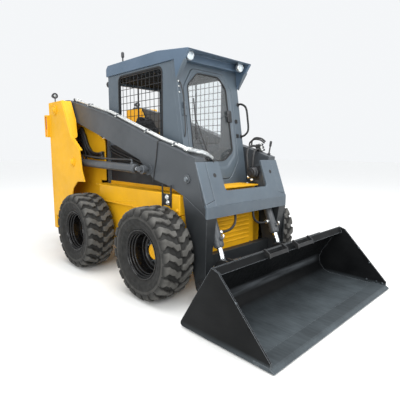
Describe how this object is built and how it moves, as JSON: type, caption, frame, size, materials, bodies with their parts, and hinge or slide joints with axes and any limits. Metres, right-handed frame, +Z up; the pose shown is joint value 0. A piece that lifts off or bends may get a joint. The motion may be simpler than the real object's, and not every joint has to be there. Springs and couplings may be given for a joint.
{
  "type": "skid steer loader",
  "caption": "Compact skid steer loader with an enclosed cab, radial lift arms hinged on tall rear uprights, hydraulic cylinders and a wide dirt bucket on a quick coupler.",
  "frame": {"origin": "centre of the bounding box's footprint, on the ground that the tyres stand on", "axes": "+X forward towards the bucket, +Y to the machine's left, +Z up"},
  "size_m": [3.7432, 1.93, 2.4103],
  "materials": {
    "yellow_paint": "satin machine yellow",
    "grey_paint": "satin slate blue-grey",
    "arm_paint": "satin dark grey",
    "black_paint": "worn satin black",
    "gloss_black_paint": "gloss black",
    "worn_steel": "bare worn steel",
    "chrome": "hard chrome",
    "tyre_rubber": "dusty dark grey",
    "hose_rubber": "matt black",
    "dark_vinyl": "grained vinyl",
    "lamp_white": "lamp lens white",
    "lamp_red": "lamp lens red",
    "clear_glass": "tinted laminated glass"
  },
  "bodies": {
    "chassis": {"main_frame": "yellow_paint", "fender_left": "yellow_paint", "upright_left": "yellow_paint", "fender_right": "yellow_paint", "upright_right": "yellow_paint", "frame_hose": "hose_rubber", "rear_bumper": "yellow_paint", "engine_block": "black_paint", "tail_light_left": "lamp_red", "rear_lamp_left": "lamp_white", "tail_light_right": "lamp_red", "rear_lamp_right": "lamp_white", "cab_side_left": "grey_paint", "cab_screen_left": "black_paint", "front_lamp_left": "lamp_white", "cab_side_right": "grey_paint", "cab_screen_right": "black_paint", "front_lamp_right": "lamp_white", "cab_rear_panel": "grey_paint", "cab_front_frame": "grey_paint", "cab_roof": "grey_paint", "roof_beacon": "black_paint", "grab_handle": "black_paint", "seat_base": "black_paint", "seat_cushion": "dark_vinyl", "seat_back": "dark_vinyl", "lap_bar": "black_paint", "control_left": "black_paint", "control_right": "black_paint"},
    "lift_arms": {"lift_arm_left": "arm_paint", "lift_arm_right": "arm_paint", "arm_cross_plate": "grey_paint", "arm_cross_beam": "arm_paint", "arm_tubes": "worn_steel", "aux_coupler": "worn_steel"},
    "bucket": {"bucket_coupler": "black_paint", "bucket_shell": "black_paint", "cutting_edge": "worn_steel"},
    "door": {"cab_door": "grey_paint", "cab_door_glass": "clear_glass"},
    "engine_lid": {"engine_cover": "yellow_paint"},
    "rear_gate": {"rear_door": "yellow_paint"},
    "wheel_front_left": {"tyre_front_left": "tyre_rubber", "rim_front_left": "gloss_black_paint"},
    "wheel_front_right": {"tyre_front_right": "tyre_rubber", "rim_front_right": "gloss_black_paint"},
    "wheel_rear_left": {"tyre_rear_left": "tyre_rubber", "rim_rear_left": "gloss_black_paint"},
    "wheel_rear_right": {"tyre_rear_right": "tyre_rubber", "rim_rear_right": "gloss_black_paint"},
    "left_lift_barrel": {"lift_barrel_left": "arm_paint"},
    "left_lift_rod": {"lift_rod_left": "chrome"},
    "right_lift_barrel": {"lift_barrel_right": "arm_paint"},
    "right_lift_rod": {"lift_rod_right": "chrome"},
    "left_tilt_barrel": {"tilt_barrel_left": "arm_paint"},
    "left_tilt_rod": {"tilt_rod_left": "chrome"},
    "right_tilt_barrel": {"tilt_barrel_right": "arm_paint"},
    "right_tilt_rod": {"tilt_rod_right": "chrome"}
  },
  "joints": [
    {"name": "arm_lift", "type": "hinge", "parent": "chassis", "child": "lift_arms", "pos_m": [-1.61165, 0, 1.8], "axis": [0, -1, 0], "range_deg": [0, 58]},
    {"name": "bucket_tilt", "type": "hinge", "parent": "lift_arms", "child": "bucket", "pos_m": [0.86335, 0, 0.17], "axis": [0, 1, 0], "range_deg": [-28, 100]},
    {"name": "door_swing", "type": "hinge", "parent": "chassis", "child": "door", "pos_m": [0.55019, -0.375, 0.95914], "axis": [0.1532, 0, -0.9882], "range_deg": [0, 70]},
    {"name": "engine_lid_tilt", "type": "hinge", "parent": "chassis", "child": "engine_lid", "pos_m": [-0.84665, 0, 1.48], "axis": [0, 1, 0], "range_deg": [0, 65]},
    {"name": "rear_gate_swing", "type": "hinge", "parent": "chassis", "child": "rear_gate", "pos_m": [-1.83195, 0.5, 0.9775], "axis": [0, 0, -1], "range_deg": [0, 100]},
    {"name": "wheel_front_left_spin", "type": "hinge", "parent": "chassis", "child": "wheel_front_left", "pos_m": [0.43835, 0.775, 0.41487], "axis": [0, 1, 0], "continuous": true},
    {"name": "wheel_front_right_spin", "type": "hinge", "parent": "chassis", "child": "wheel_front_right", "pos_m": [0.43835, -0.775, 0.41487], "axis": [0, 1, 0], "continuous": true},
    {"name": "wheel_rear_left_spin", "type": "hinge", "parent": "chassis", "child": "wheel_rear_left", "pos_m": [-0.82165, 0.775, 0.41487], "axis": [0, 1, 0], "continuous": true},
    {"name": "wheel_rear_right_spin", "type": "hinge", "parent": "chassis", "child": "wheel_rear_right", "pos_m": [-0.82165, -0.775, 0.41487], "axis": [0, 1, 0], "continuous": true},
    {"name": "left_lift_barrel_swing", "type": "hinge", "parent": "chassis", "child": "left_lift_barrel", "pos_m": [-1.17165, 0.6403, 1.165], "axis": [0, -1, 0], "range_deg": [0, 61]},
    {"name": "left_lift_rod_slide", "type": "slide", "parent": "left_lift_barrel", "child": "left_lift_rod", "axis": [0.9996, 0, -0.0268], "range_m": [0, 0.75]},
    {"name": "left_tilt_barrel_swing", "type": "hinge", "parent": "lift_arms", "child": "left_tilt_barrel", "pos_m": [0.68835, 0.4173, 1.07], "axis": [0, 1, 0], "range_deg": [-1.3, 4.4]},
    {"name": "left_tilt_rod_slide", "type": "slide", "parent": "left_tilt_barrel", "child": "left_tilt_rod", "axis": [0.3712, 0, -0.9286], "range_m": [-0.09, 0.32]},
    {"name": "right_lift_barrel_swing", "type": "hinge", "parent": "chassis", "child": "right_lift_barrel", "pos_m": [-1.17165, -0.6403, 1.165], "axis": [0, -1, 0], "range_deg": [0, 61]},
    {"name": "right_lift_rod_slide", "type": "slide", "parent": "right_lift_barrel", "child": "right_lift_rod", "axis": [0.9996, 0, -0.0268], "range_m": [0, 0.75]},
    {"name": "right_tilt_barrel_swing", "type": "hinge", "parent": "lift_arms", "child": "right_tilt_barrel", "pos_m": [0.68835, -0.4173, 1.07], "axis": [0, 1, 0], "range_deg": [-1.3, 4.4]},
    {"name": "right_tilt_rod_slide", "type": "slide", "parent": "right_tilt_barrel", "child": "right_tilt_rod", "axis": [0.3712, 0, -0.9286], "range_m": [-0.09, 0.32]}
  ],
  "couplings": [
    {"joint": "left_lift_barrel_swing", "follows": "arm_lift", "ratio": 1.0456},
    {"joint": "left_lift_rod_slide", "follows": "arm_lift", "m_per_rad": 0.73621},
    {"joint": "left_tilt_barrel_swing", "follows": "bucket_tilt", "ratio": 0.04306},
    {"joint": "left_tilt_rod_slide", "follows": "bucket_tilt", "m_per_rad": 0.18},
    {"joint": "right_lift_barrel_swing", "follows": "arm_lift", "ratio": 1.0456},
    {"joint": "right_lift_rod_slide", "follows": "arm_lift", "m_per_rad": 0.73621},
    {"joint": "right_tilt_barrel_swing", "follows": "bucket_tilt", "ratio": 0.04306},
    {"joint": "right_tilt_rod_slide", "follows": "bucket_tilt", "m_per_rad": 0.18}
  ]
}
